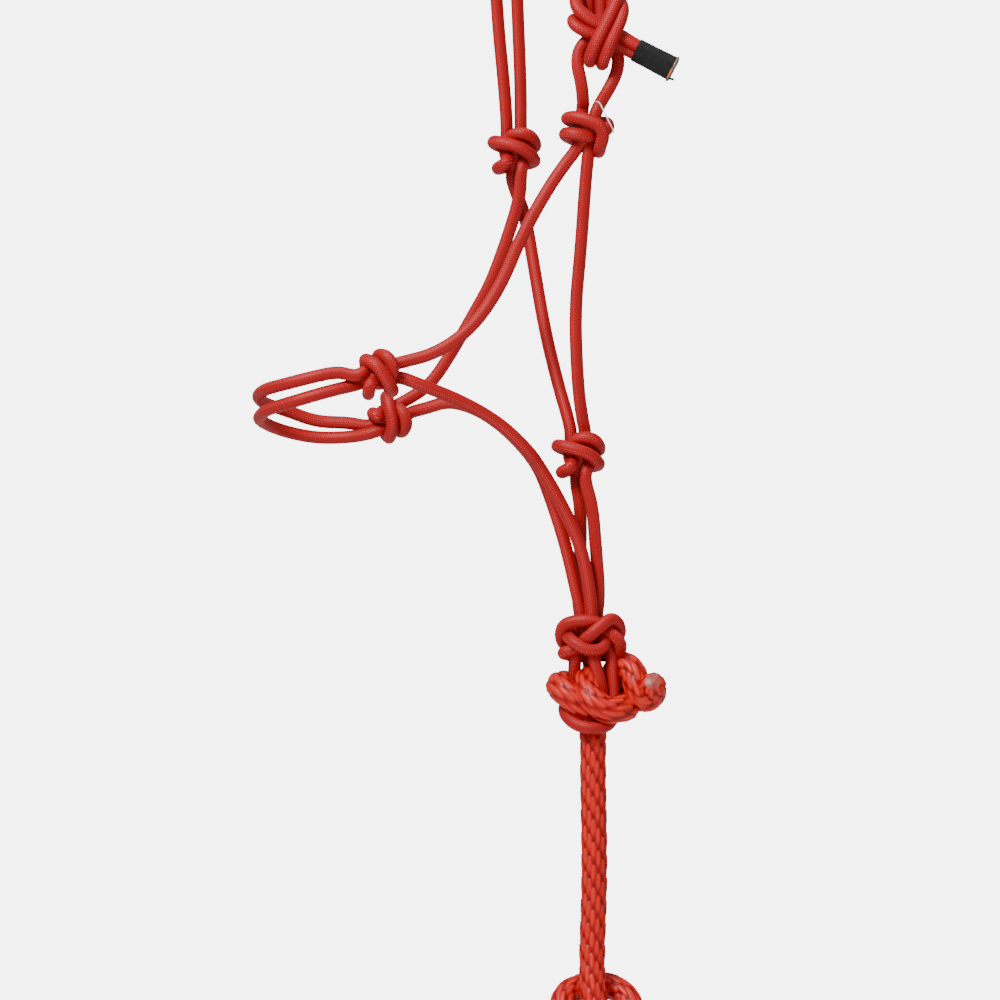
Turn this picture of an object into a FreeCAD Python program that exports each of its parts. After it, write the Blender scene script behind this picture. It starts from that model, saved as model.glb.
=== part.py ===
"""Knotted rope halter with its lead rope: every stretch, knot and loop as its own piece.

Units are millimetres.  +Z is up, -X is the horse's nose, -Y is the near side.  The origin is
the inner top of the crown bend, where a peg or the horse's poll carries the halter.
"""
import FreeCAD, Part
import math
import os
from FreeCAD import Rotation, Vector

os.makedirs("parts", exist_ok=True)
doc = FreeCAD.newDocument("rope_halter")

# ---------------------------------------------------------------- driving dimensions
SIZES = {
    "halter_rope": 8.0,          # diameter of the halter's kernmantle rope
    "lead_rope": 16.0,           # diameter of the solid-braid lead rope
    "knot_radius": 16.3,         # a fiador, cheek, nose or throat knot
    "tie_radius": 19.0,          # the crown tie, which is looser
    "swing_gap": 0.5,            # free space between a knot and what swings on it
    "lead_knot_radius": 20.0,
    "lead_knot_length": 77.0,
    "lead_knot_round": 12.0,     # rounding of the lead knot's two ends
    "stopper_radius": 25.0,
    "tape_length": 26.0,
    "tape_wall": 0.5,
    "tape_play": 0.1,            # between the tape's inside and the two tail ends
    "end_thickness": 2.0,        # the melted face that closes both tail ends
    "tail_gap": 0.2,             # between the two tail ends inside the tape
    "coil_radius": 88.0,         # to the middle of the coil's turns
    "coil_turns": 3.0,           # side by side, one behind another
    "coil_play": 1.0,            # of the turns, over their own diameters
    "coil_round": 6.0,
    "tie_width": 18.0,           # of the strap that holds the coil
    "tie_wall": 2.0,
    "tie_play": 0.8,             # between the strap and the coil's turns
}

# Where each knot's centre is, and the crown's own reference point.
CENTRES = {
    "crown": (0.0, 0.0, 0.0),
    "tie": (28.7, -34.0, -215.4),
    "cheek_near": (20.0, -28.0, -283.5),
    "cheek_far": (-26.7, 28.0, -294.8),
    "throat": (16.0, 0.0, -499.0),
    "nose_near": (-116.7, -42.0, -446.2),
    "nose_far": (-108.7, 42.0, -473.6),
    "fiador": (23.3, 0.0, -619.6),
    "lead": (34.0, 0.0, -662.3),
    "lead_exit": (25.6, 0.0, -682.3),   # where the lead rope leaves the lead knot
    "stopper": (27.7, 0.0, -868.8),
    "coil": (27.7, 0.0, -1029.0),
}
AXES = ("x", "y", "z")


def make_sheet():
    """Fill the spreadsheet with the sizes and the centres, each cell with an alias."""
    table = doc.addObject("Spreadsheet::Sheet", "Sizes")
    cells = dict(SIZES)
    for name, centre in CENTRES.items():
        for axis, value in zip(AXES, centre):
            cells["%s_%s" % (name, axis)] = value
    for row, (alias, value) in enumerate(cells.items(), start=1):
        table.set("A%d" % row, alias)
        table.set("B%d" % row, repr(value))
        table.setAlias("B%d" % row, alias)
    doc.recompute()
    return table


sheet = make_sheet()
pieces = []


def size(alias):
    """The value of one cell, in millimetres."""
    return float(sheet.get(alias))


def centre(name):
    return Vector(*[size("%s_%s" % (name, axis)) for axis in AXES])


def place_at(piece, name, offset=("0", "0", "0")):
    """Bind a piece's position to a centre in the sheet, plus an offset written as expressions."""
    for axis, extra in zip(AXES, offset):
        formula = "Sizes.%s_%s + %s" % (name, axis, extra)
        piece.setExpression("Placement.Base.%s" % axis, formula)


def keep(piece, label):
    """Count a document object as a finished sub-part under its own name."""
    piece.Label = label
    pieces.append(piece)
    return piece


# ---------------------------------------------------------------- knots
def ball(name, where, radius):
    """A sphere bound to the sheet: a knot's outer shape, or the space that it needs."""
    sphere = doc.addObject("Part::Sphere", name)
    sphere.setExpression("Radius", radius)
    place_at(sphere, where)
    return sphere


def make_knot(label, where, radius="Sizes.knot_radius"):
    return keep(ball(label, where, radius), label)


def knot_space(where, radius="Sizes.knot_radius"):
    """The knot grown by the swing gap, which trims the pieces that swing on it."""
    return ball("space_%s" % where, where, radius + " + Sizes.swing_gap")


# ---------------------------------------------------------------- rope stretches
BEND_SHARE = 0.45                # of the shorter run, used up by each tangent arc


def bend(before, corner, after):
    """The tangent arc at one point of a route: its start, middle, end and radius."""
    run_in = corner - before
    run_out = after - corner
    reach = BEND_SHARE * min(run_in.Length, run_out.Length)
    way_in = Vector(run_in).normalize()
    way_out = Vector(run_out).normalize()
    half_turn = way_in.getAngle(way_out) / 2
    radius = reach / math.tan(half_turn)
    inward = (way_out - way_in).normalize()
    middle = corner + inward * (radius / math.cos(half_turn) - radius)
    return corner - way_in * reach, middle, corner + way_out * reach, radius


def rope_path(points):
    """Straight runs joined by tangent arcs, as one wire, with its smallest radius."""
    edges = []
    radii = []
    here = points[0]
    for before, corner, after in zip(points, points[1:], points[2:]):
        start, middle, end, radius = bend(before, corner, after)
        edges.append(Part.LineSegment(here, start).toShape())
        edges.append(Part.Arc(start, middle, end).toShape())
        radii.append(radius)
        here = end
    edges.append(Part.LineSegment(here, points[-1]).toShape())
    return Part.Wire(edges), min(radii) if radii else math.inf


def make_tube(name, route, diameter):
    """A round rope along a route of (anchor, offset) points."""
    points = [centre(anchor) + Vector(*offset) for anchor, offset in route]
    wire, tightest = rope_path(points)
    section = Part.Wire(Part.makeCircle(diameter / 2, points[0], points[1] - points[0]))
    tube = wire.makePipeShell([section], True, False)
    solid = Part.Solid(tube) if tube.ShapeType == "Shell" else tube
    expected = math.pi * diameter ** 2 / 4 * wire.Length
    print("%-26s length %7.1f  tightest bend %6.1f  volume %.3f of its section x length" % (
        name, wire.Length, tightest, solid.Volume / expected))
    feature = doc.addObject("Part::Feature", name)
    feature.Shape = solid
    return feature


def trimmed(label, tube, tools):
    """A rope stretch with the knots at its ends cut away, so that it ends on their faces."""
    tool = tools[0]
    if len(tools) > 1:
        tool = doc.addObject("Part::Compound", "ends_of_%s" % label)
        tool.Links = tools
    cut = doc.addObject("Part::Cut", "cut_%s" % label)
    cut.Base = tube
    cut.Tool = tool
    return keep(cut, label)


def stretch(label, route, tools, diameter="halter_rope"):
    return trimmed(label, make_tube("tube_%s" % label, route, size(diameter)), tools)


# Each point hangs on a knot: the knot's name, then the offset from its centre.
HALTER_ROUTES = {
    "crown_strand_front": [
        ("cheek_far", (-3, -2, 7)), ("cheek_far", (-8, -4, 42)), ("cheek_far", (-12, -7, 92)),
        ("crown", (-41, 15, -150)), ("crown", (-39, 8, -98)), ("crown", (-33, 2, -54)),
        ("crown", (-24, -3, -18)), ("crown", (-11, -4.7, 4)), ("crown", (11, -4.7, 4)),
        ("crown", (25, -6, -17)), ("crown", (34, -8, -50)), ("crown", (38, -13, -95)),
        ("crown", (36, -20, -145)), ("crown", (31, -25, -190)), ("tie", (1, 4, 4))],
    "crown_strand_back": [
        ("cheek_far", (2, 2, 7)), ("cheek_far", (4, 2, 42)), ("cheek_far", (2, 0, 92)),
        ("crown", (-27, 23, -150)), ("crown", (-29, 17, -98)), ("crown", (-29, 11, -54)),
        ("crown", (-23, 7, -18)), ("crown", (-11, 4.7, 4)), ("crown", (11, 4.7, 4)),
        ("crown", (24, 4, -17)), ("crown", (30, 1, -50)), ("crown", (30, -5, -95)),
        ("crown", (26, -13, -145)), ("crown", (21, -20, -190)), ("tie", (-3, 6, 4))],
    "crown_bight_left": [
        ("tie", (-7, 5, -8)), ("tie", (-6.5, 5, -20)), ("tie", (-6.5, 1, -27)),
        ("tie", (-6.5, -8, -27)), ("tie", (-6, -12, -19)), ("tie", (-5, -10, -8))],
    "crown_bight_right": [
        ("tie", (1, 5, -8)), ("tie", (2, 5, -20)), ("tie", (2, 1, -28)),
        ("tie", (1.8, -8, -28)), ("tie", (2.5, -12, -20)), ("tie", (5, -10, -8))],
    "tie_loop_left": [
        ("cheek_near", (0, 0, 7)), ("cheek_near", (-4, 0, 22)), ("tie", (-18, 1, -31)),
        ("tie", (-18, 2, -18)), ("tie", (-10, 2, -8))],
    "tie_loop_right": [
        ("cheek_near", (6, 2, 7)), ("cheek_near", (13, 3, 20)), ("tie", (13, 5, -33)),
        ("tie", (14, 5, -20)), ("tie", (9, 4, -9))],
    "cheek_strand_near": [
        ("cheek_near", (-6, 0, -8)), ("cheek_near", (-25, -4, -39)),
        ("cheek_near", (-43, -7, -72)), ("cheek_near", (-56, -8, -104)),
        ("nose_near", (62, 3, 31)), ("nose_near", (38, 2, 15)), ("nose_near", (9, 0, 4))],
    "cheek_strand_far": [
        ("cheek_far", (3, -2, -8)), ("cheek_far", (3, -2, -30)), ("cheek_far", (-5, 0, -58)),
        ("cheek_far", (-16, 3, -88)), ("nose_far", (56, -5, 73)), ("nose_far", (40, -3, 45)),
        ("nose_far", (23, -1, 25)), ("nose_far", (7, 0, 8))],
    "throat_strand_near": [
        ("cheek_near", (2, 0, -7)), ("cheek_near", (0, 3, -33)), ("cheek_near", (-3, 10, -78)),
        ("throat", (-3, -12, 95)), ("throat", (-1, -6, 48)), ("throat", (1, -1, 9))],
    "throat_strand_far": [
        ("cheek_far", (-1, 6, -6)), ("cheek_far", (-1, 9, -22)), ("cheek_far", (7, 8, -40)),
        ("cheek_far", (13, 2, -78)), ("cheek_far", (20, -7, -120)), ("throat", (-14, 12, 44)),
        ("throat", (-6, 3, 9))],
    "jaw_strand_left": [
        ("throat", (-1, 2, -8)), ("throat", (1, 4, -32)), ("fiador", (-6, 8, 58)),
        ("fiador", (-9, 10, 26)), ("fiador", (-6, 8, 8))],
    "jaw_strand_right": [
        ("throat", (6, -2, -7)), ("throat", (11, -3, -32)), ("fiador", (4, -1, 58)),
        ("fiador", (6, 2, 26)), ("fiador", (5, 3, 8))],
    "chin_strand_near": [
        ("nose_near", (8, 0, -2)), ("nose_near", (26, 3, -6)), ("nose_near", (53, 8, -14)),
        ("nose_near", (79, 14, -24)), ("nose_near", (98, 19, -42)), ("fiador", (-33, -16, 119)),
        ("fiador", (-20, -11, 90)), ("fiador", (-8, -8, 60)), ("fiador", (-1, -7, 31)),
        ("fiador", (2, -7, 9))],
    "chin_strand_far": [
        ("nose_far", (8, 0, 1)), ("nose_far", (28, -5, 6)), ("nose_far", (46, -10, 8)),
        ("nose_far", (63, -17, 1)), ("nose_far", (79, -24, -12)), ("fiador", (-37, 10, 113)),
        ("fiador", (-26, 6, 86)), ("fiador", (-15, 2, 60)), ("fiador", (-8.5, 0.5, 31)),
        ("fiador", (-5, -0.5, 9))],
}

NOSEBAND_ROUTES = {
    "noseband_upper": [
        ("nose_near", (-8, 0, 0)), ("nose_near", (-30, -4, -1)), ("nose_near", (-52, -5, -5)),
        ("nose_near", (-71, 2, -9)), ("nose_near", (-83, 17, -13)), ("nose_near", (-87, 34, -16)),
        ("nose_far", (-95, -34, 10)), ("nose_far", (-91, -16, 7)), ("nose_far", (-77, -1, 4)),
        ("nose_far", (-56, 6, -1)), ("nose_far", (-33, 4, -4)), ("nose_far", (-8, 0, -1))],
    "noseband_lower": [
        ("nose_near", (-6, 0, -7)), ("nose_near", (-30, -4, -12)), ("nose_near", (-52, -5, -17)),
        ("nose_near", (-71, 2, -21)), ("nose_near", (-83, 17, -25)), ("nose_near", (-87, 34, -28)),
        ("nose_far", (-95, -34, -2)), ("nose_far", (-91, -16, -6)), ("nose_far", (-77, -1, -10)),
        ("nose_far", (-56, 6, -14)), ("nose_far", (-33, 4, -15)), ("nose_far", (-6, 0, -8))],
}

ENDS = {
    "crown_strand_front": ("cheek_far", "tie"),
    "crown_strand_back": ("cheek_far", "tie"),
    "crown_bight_left": ("tie",),
    "crown_bight_right": ("tie",),
    "tie_loop_left": ("cheek_near", "tie"),
    "tie_loop_right": ("cheek_near", "tie"),
    "cheek_strand_near": ("cheek_near", "nose_near"),
    "cheek_strand_far": ("cheek_far", "nose_far"),
    "throat_strand_near": ("cheek_near", "throat"),
    "throat_strand_far": ("cheek_far", "throat"),
    "jaw_strand_left": ("throat", "fiador"),
    "jaw_strand_right": ("throat", "fiador"),
    "chin_strand_near": ("nose_near", "fiador"),
    "chin_strand_far": ("nose_far", "fiador"),
}


def make_halter():
    """The knots and the stretches of rope between them; the noseband swings on its knots."""
    knots = {
        "cheek_near": make_knot("cheek_knot_near", "cheek_near"),
        "cheek_far": make_knot("cheek_knot_far", "cheek_far"),
        "nose_near": make_knot("nose_knot_near", "nose_near"),
        "nose_far": make_knot("nose_knot_far", "nose_far"),
        "throat": make_knot("throat_knot", "throat"),
        "fiador": make_knot("fiador_knot", "fiador"),
        "tie": make_knot("crown_tie_knot", "tie", "Sizes.tie_radius"),
    }
    for label, route in HALTER_ROUTES.items():
        stretch(label, route, [knots[end] for end in ENDS[label]])
    nose_spaces = [knot_space("nose_near"), knot_space("nose_far")]
    for label, route in NOSEBAND_ROUTES.items():
        stretch(label, route, nose_spaces)


# ---------------------------------------------------------------- tail of the crown tie
TAIL_START = Vector(11.5, -5.5, -8.1)     # from the tie's centre, inside the tie
TAIL_SLOPE = -28.5                       # degrees: the tail points down and away from the nose
TAIL_REACH = 15.0                        # from the tail's start to the tape


def tail_half_spread():
    """From the tail's middle to the centre line of either rope end."""
    return (size("halter_rope") + size("tail_gap")) / 2


def make_tail():
    """Two rope ends side by side, a taped sleeve round them and the melted face at the tip."""
    space = knot_space("tie", "Sizes.tie_radius")
    turn = Rotation(Vector(0, 1, 0), -TAIL_SLOPE)
    along = turn.multVec(Vector(1, 0, 0))
    across = turn.multVec(Vector(0, 0, 1))
    start = centre("tie") + TAIL_START
    rope = size("halter_rope")
    whole = TAIL_REACH + size("tape_length")
    for label, side in (("tail_strand_upper", 1), ("tail_strand_lower", -1)):
        base = start + across * (side * tail_half_spread())
        tube = doc.addObject("Part::Cylinder", "tube_%s" % label)
        tube.setExpression("Radius", "Sizes.halter_rope / 2")
        tube.setExpression("Height", "Sizes.tape_length + %s" % TAIL_REACH)
        tube.Placement = FreeCAD.Placement(base, Rotation(Vector(0, 0, 1), along))
        trimmed(label, tube, [space])
    frame = Rotation(along, Vector(0, 1, 0), across, "XYZ")
    hole_round = rope / 2 + size("tape_play")
    sleeve_round = hole_round + size("tape_wall")
    sleeve = slot_prism("sleeve", sleeve_round, size("tape_length"))
    hole = slot_prism("sleeve_hole", hole_round, size("tape_length"))
    tape = doc.addObject("Part::Cut", "cut_tail_tape")
    tape.Base = sleeve
    tape.Tool = hole
    tape.Placement = FreeCAD.Placement(start + along * TAIL_REACH, frame)
    keep(tape, "tail_tape")
    face = slot_prism("melted_face", sleeve_round, size("end_thickness"))
    face.Placement = FreeCAD.Placement(start + along * whole, frame)
    keep(face, "tail_melted_end")


def slot_prism(name, radius, length):
    """A prism along +X whose section is a slot round both tail ends."""
    half = tail_half_spread()
    top = Vector(0, 0, half)
    bottom = Vector(0, 0, -half)
    out = Vector(0, radius, 0)
    up = Vector(0, 0, radius)
    edges = [
        Part.Arc(top - out, top + up, top + out).toShape(),
        Part.LineSegment(top + out, bottom + out).toShape(),
        Part.Arc(bottom + out, bottom - up, bottom - out).toShape(),
        Part.LineSegment(bottom - out, top - out).toShape(),
    ]
    prism = doc.addObject("Part::Feature", name)
    prism.Shape = Part.Face(Part.Wire(edges)).extrude(Vector(length, 0, 0))
    return prism


# ---------------------------------------------------------------- lead loop and lead knot
BIGHT_SIDES = {"lead_loop_left": -1, "lead_loop_right": 1}
BIGHT_SPREAD = 1.1               # of the rope's diameter, from the fiador's middle to a bight


def lead_barrel(name):
    """The lead knot's outer shape: a barrel lying along X."""
    length = size("lead_knot_length")
    end = centre("lead") - Vector(length / 2, 0, 0)
    barrel = Part.makeCylinder(size("lead_knot_radius"), length, end, Vector(1, 0, 0))
    rims = [edge for edge in barrel.Edges if edge.Closed]
    feature = doc.addObject("Part::Feature", name)
    feature.Shape = barrel.makeFillet(size("lead_knot_round"), rims)
    return feature


def make_lead_loop():
    """Two bights that come out of the fiador knot and pass round under the lead knot."""
    fiador_space = knot_space("fiador")
    rope = size("halter_rope")
    hug = size("lead_knot_radius") + size("swing_gap") + rope / 2
    corner = hug * math.tan(math.pi / 8)
    beside = size("lead_rope") / 2 + rope / 2 + 2 * size("swing_gap")
    exit_line = centre("lead_exit").x - centre("lead").x
    fiador_line = centre("fiador").x - centre("lead").x
    drop = centre("fiador").z - centre("lead").z
    for label, side in BIGHT_SIDES.items():
        low = exit_line + side * beside
        high = fiador_line + side * rope * BIGHT_SPREAD
        front = [
            (high, -corner / 2, drop - rope / 2),
            (high, -corner, hug + rope / 2),
            (low, -hug, corner),
            (low, -hug, -corner),
            (low, -corner, -hug),
        ]
        back = [(x, -y, z) for x, y, z in reversed(front)]
        route = [("lead", point) for point in front + back]
        stretch(label, route, [fiador_space])


LEAD_ROUTE = [
    ("lead_exit", (0, 0.5, 14)), ("lead_exit", (-0.5, 0, -22)), ("lead_exit", (0.5, -1, -66)),
    ("stopper", (-1.5, -1, 78)), ("stopper", (-3, 0, 40)), ("stopper", (-2.5, 0, 5))]
LEAD_TAIL_ROUTE = [
    ("stopper", (0, 0, -5)), ("stopper", (0, 0, -34)), ("coil", (-8, 0, 104)),
    ("coil", (-27, 0, 85)), ("coil", (-49, 0, 73))]


def make_lead():
    """The lead knot, the hanging stretch, the stopper knot and the coil of the remaining rope."""
    knot = keep(lead_barrel("lead_barrel"), "lead_knot")
    stopper = make_knot("lead_stopper_knot", "stopper", "Sizes.stopper_radius")
    stretch("lead_rope_upper", LEAD_ROUTE, [knot, stopper], "lead_rope")
    coil = make_coil()
    stretch("lead_rope_lower", LEAD_TAIL_ROUTE, [stopper, coil], "lead_rope")
    make_coil_tie()


def make_coil():
    """The outer shape of the coil's turns: a flat-sided ring round the Y axis."""
    thick = size("lead_rope") + size("coil_play")
    wide = size("coil_turns") * size("lead_rope") + size("coil_play")
    inner = size("coil_radius") - thick / 2
    back = centre("coil") + Vector(0, wide / 2, 0)
    towards = Vector(0, -1, 0)
    disc = Part.makeCylinder(inner + thick, wide, back, towards)
    ring = disc.cut(Part.makeCylinder(inner, wide, back, towards))
    rims = [edge for edge in ring.Edges if edge.Closed]
    coil = doc.addObject("Part::Feature", "coil_ring")
    coil.Shape = ring.makeFillet(size("coil_round"), rims)
    return keep(coil, "lead_coil")


def make_coil_tie():
    """A strap round all the turns, on the side of the coil away from the nose."""
    thick = size("lead_rope") + size("coil_play") + 2 * size("tie_play")
    wide = size("coil_turns") * size("lead_rope") + size("coil_play") + 2 * size("tie_play")
    wall = size("tie_wall")
    middle = centre("coil") + Vector(size("coil_radius"), 0, 0)
    outside = strap_block(middle, wide + 2 * wall, thick + 2 * wall)
    inside = strap_block(middle, wide, thick)
    tie = doc.addObject("Part::Feature", "coil_strap")
    tie.Shape = outside.cut(inside)
    keep(tie, "coil_tie")


def strap_block(middle, wide, thick):
    """A block as tall as the strap is wide, with its four upright edges rounded."""
    tall = size("tie_width")
    corner = middle - Vector(thick / 2, wide / 2, tall / 2)
    block = Part.makeBox(thick, wide, tall, corner)
    upright = [edge for edge in block.Edges if edge.BoundBox.ZLength > tall / 2]
    return block.makeFillet(size("coil_round"), upright)


def write_parts():
    """Check every object and every sub-part, then write one file for each sub-part."""
    doc.recompute()
    failed = [item.Name for item in doc.Objects if {"Invalid", "Error"} & set(item.State)]
    if failed:
        raise RuntimeError("failed objects: %s" % ", ".join(failed))
    for piece in pieces:
        if piece.Shape.isNull() or not piece.Shape.isValid():
            raise RuntimeError("bad shape: %s" % piece.Label)
        piece.Shape.exportStep("parts/%s.step" % piece.Label)
        print("%-26s %d solid  %9.0f mm3" % (
            piece.Label, len(piece.Shape.Solids), piece.Shape.Volume))


make_halter()
make_tail()
make_lead_loop()
make_lead()
write_parts()
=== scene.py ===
"""Looks of the knotted rope halter: real rope routes, braided meshes and fibre materials.

Everything is in metres in the CAD frame. Points of a route are offsets in millimetres from a knot's
centre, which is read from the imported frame.
"""
import bpy
import math
import numpy as np
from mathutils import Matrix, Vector


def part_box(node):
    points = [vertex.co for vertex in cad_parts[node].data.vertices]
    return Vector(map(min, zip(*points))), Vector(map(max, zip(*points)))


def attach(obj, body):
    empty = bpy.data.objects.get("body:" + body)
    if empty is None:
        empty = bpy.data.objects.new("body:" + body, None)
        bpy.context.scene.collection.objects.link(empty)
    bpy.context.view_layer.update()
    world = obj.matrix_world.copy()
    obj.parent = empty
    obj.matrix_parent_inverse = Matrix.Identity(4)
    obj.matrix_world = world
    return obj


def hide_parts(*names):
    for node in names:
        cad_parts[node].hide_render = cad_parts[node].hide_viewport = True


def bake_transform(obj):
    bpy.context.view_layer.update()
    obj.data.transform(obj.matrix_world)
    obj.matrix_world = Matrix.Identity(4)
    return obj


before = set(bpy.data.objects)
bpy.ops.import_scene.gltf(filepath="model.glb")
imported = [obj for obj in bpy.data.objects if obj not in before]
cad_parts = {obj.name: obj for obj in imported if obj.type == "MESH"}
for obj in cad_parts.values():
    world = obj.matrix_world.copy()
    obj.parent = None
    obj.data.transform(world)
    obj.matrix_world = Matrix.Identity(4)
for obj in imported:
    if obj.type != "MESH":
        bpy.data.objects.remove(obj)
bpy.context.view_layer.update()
MM = 0.001
scene = bpy.context.scene

# ---------------------------------------------------------------- camera, lights and stage
PHOTO_WIDTH = 0.667              # what the frame covers at the object
VIEW_CENTRE = Vector((-0.0367, 0.0, -0.5289))
LENS = 200.0                     # millimetres, like the sensor
SENSOR = 36.0
AIM = (0, 0, -0.55)              # what the lights point at
SKY_LIGHT = 0.38                 # how strongly the sky lights the object
SKY_SEEN = 6.0                   # how bright the sky is behind it
FLOOR_REACH = 4.0
FLOOR_HEIGHT = -1.45


def make_camera():
    data = bpy.data.cameras.new("camera")
    data.lens = LENS
    data.sensor_width = SENSOR
    camera = bpy.data.objects.new("camera", data)
    scene.collection.objects.link(camera)
    camera.location = VIEW_CENTRE + Vector((0, -PHOTO_WIDTH * LENS / SENSOR, 0))
    camera.rotation_euler = (math.pi / 2, 0, 0)
    data.clip_end = 50.0
    scene.camera = camera


def area_light(name, place, size, power):
    data = bpy.data.lights.new(name, "AREA")
    data.shape = "SQUARE"
    data.size = size
    data.energy = power
    light = bpy.data.objects.new(name, data)
    scene.collection.objects.link(light)
    light.location = place
    light.rotation_euler = (Vector(AIM) - Vector(place)).to_track_quat("-Z", "Y").to_euler()


def make_sky():
    """A white sky, which looks brighter behind the object than the soft light it gives."""
    world = bpy.data.worlds.new("sky")
    scene.world = world
    world.use_nodes = True
    tree = world.node_tree
    soft = tree.nodes["Background"]
    seen = tree.nodes.new("ShaderNodeBackground")
    for sky, strength in ((soft, SKY_LIGHT), (seen, SKY_SEEN)):
        sky.inputs["Color"].default_value = (1, 1, 1, 1)
        sky.inputs["Strength"].default_value = strength
    path = tree.nodes.new("ShaderNodeLightPath")
    mixed = tree.nodes.new("ShaderNodeMixShader")
    tree.links.new(path.outputs["Is Camera Ray"], mixed.inputs[0])
    tree.links.new(soft.outputs[0], mixed.inputs[1])
    tree.links.new(seen.outputs[0], mixed.inputs[2])
    tree.links.new(mixed.outputs[0], tree.nodes["World Output"].inputs["Surface"])


def make_floor():
    mesh = bpy.data.meshes.new("floor")
    sides = ((-1, -1), (1, -1), (1, 1), (-1, 1))
    corners = [(x * FLOOR_REACH, y * FLOOR_REACH, FLOOR_HEIGHT) for x, y in sides]
    mesh.from_pydata(corners, [], [(0, 1, 2, 3)])
    floor = bpy.data.objects.new("floor", mesh)
    scene.collection.objects.link(floor)
    material = bpy.data.materials.new("floor")
    material.use_nodes = True
    shader = material.node_tree.nodes["Principled BSDF"]
    shader.inputs["Base Color"].default_value = (0.9, 0.9, 0.9, 1)
    shader.inputs["Roughness"].default_value = 0.95
    shader.inputs["Specular IOR Level"].default_value = 0.1
    mesh.materials.append(material)


def make_studio():
    area_light("key", (-1.1, -1.7, 1.2), 0.8, 84)
    area_light("fill", (1.6, -1.6, -0.3), 1.6, 5)
    area_light("top", (0.1, -0.3, 1.4), 1.2, 12)
    make_sky()
    make_floor()


# ---------------------------------------------------------------- materials
def node(tree, kind, **values):
    """A shader node, with its properties and its inputs set by name."""
    made = tree.nodes.new(kind)
    for key, value in values.items():
        if hasattr(made, key):
            setattr(made, key, value)
        else:
            made.inputs[key.replace("_", " ")].default_value = value
    return made


def maths(tree, operation, first, second=None):
    """The result of a Math node, whose inputs are numbers or other sockets."""
    made = tree.nodes.new("ShaderNodeMath")
    made.operation = operation
    for socket, value in zip(made.inputs, (first, second)):
        if value is None:
            continue
        if isinstance(value, (int, float)):
            socket.default_value = value
        else:
            tree.links.new(value, socket)
    return made.outputs[0]


def ramp(tree, factor, stops):
    """A colour ramp through (place, colour) stops."""
    made = tree.nodes.new("ShaderNodeValToRGB")
    elements = made.color_ramp.elements
    for extra in range(len(stops) - 2):
        elements.new(0.5)
    for element, (at, colour) in zip(elements, stops):
        element.position = at
        element.color = (*colour, 1)
    tree.links.new(factor, made.inputs["Fac"])
    return made.outputs["Color"]


def rope_material(name, stops, roughness, sheen, coat, fibre_scale, fibre_tilt, bump, distance):
    """Braided yarn: colour from the braid's relief, with painted shade in its hollows and painted
    highlight on its raised tops, fine fibres along the yarns, soft sheen.
    """
    material = bpy.data.materials.new(name)
    material.use_nodes = True
    tree = material.node_tree
    shader = tree.nodes["Principled BSDF"]
    relief_and_shade = node(tree, "ShaderNodeAttribute", attribute_name="relief_and_shade").outputs["Fac"]
    uv = node(tree, "ShaderNodeUVMap", uv_map="yarn").outputs["UV"]
    apart = tree.nodes.new("ShaderNodeSeparateXYZ")
    tree.links.new(uv, apart.inputs[0])
    across, along = apart.outputs[0], apart.outputs[1]
    slant = maths(tree, "ADD", across, maths(tree, "MULTIPLY", along, fibre_tilt))
    fibres = maths(tree, "SINE", maths(tree, "MULTIPLY", slant, fibre_scale))
    coordinates = node(tree, "ShaderNodeTexCoord").outputs["Object"]
    patches = node(tree, "ShaderNodeTexNoise", Scale=38.0, Detail=4.0, Roughness=0.6)
    tree.links.new(coordinates, patches.inputs["Vector"])
    lint = node(tree, "ShaderNodeTexNoise", Scale=1500.0, Detail=2.0)
    tree.links.new(coordinates, lint.inputs["Vector"])
    # Colour level: the braid's relief paints shade in its hollows and highlight on its raised tops;
    # fibres, patches and lint add real variation of tone.
    shade_and_tone = maths(tree, "ADD", relief_and_shade, maths(tree, "MULTIPLY", fibres, 0.07))
    shade_and_tone = maths(tree, "ADD", shade_and_tone, maths(tree, "MULTIPLY", patches.outputs["Fac"], 0.16))
    shade_and_tone = maths(tree, "ADD", shade_and_tone, maths(tree, "MULTIPLY", lint.outputs["Fac"], 0.14))
    shade_and_tone = maths(tree, "SUBTRACT", shade_and_tone, 0.15)
    tree.links.new(ramp(tree, shade_and_tone, stops), shader.inputs["Base Color"])
    rough = maths(tree, "ADD", maths(tree, "MULTIPLY", lint.outputs["Fac"], 0.18), roughness - 0.09)
    tree.links.new(rough, shader.inputs["Roughness"])
    shader.inputs["Sheen Weight"].default_value = sheen
    shader.inputs["Sheen Roughness"].default_value = 0.45
    shader.inputs["Sheen Tint"].default_value = (1.0, 0.4, 0.38, 1)
    shader.inputs["Specular IOR Level"].default_value = 0.28
    shader.inputs["Coat Weight"].default_value = coat
    shader.inputs["Coat Roughness"].default_value = 0.35
    shader.inputs["Subsurface Weight"].default_value = 0.04
    shader.inputs["Subsurface Radius"].default_value = (0.002, 0.0004, 0.0004)
    shader.inputs["Subsurface Scale"].default_value = 0.5
    surface = maths(tree, "ADD", maths(tree, "MULTIPLY", fibres, 0.5), lint.outputs["Fac"])
    bumps = node(tree, "ShaderNodeBump", Strength=bump, Distance=distance)
    tree.links.new(surface, bumps.inputs["Height"])
    tree.links.new(bumps.outputs["Normal"], shader.inputs["Normal"])
    return material


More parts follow.
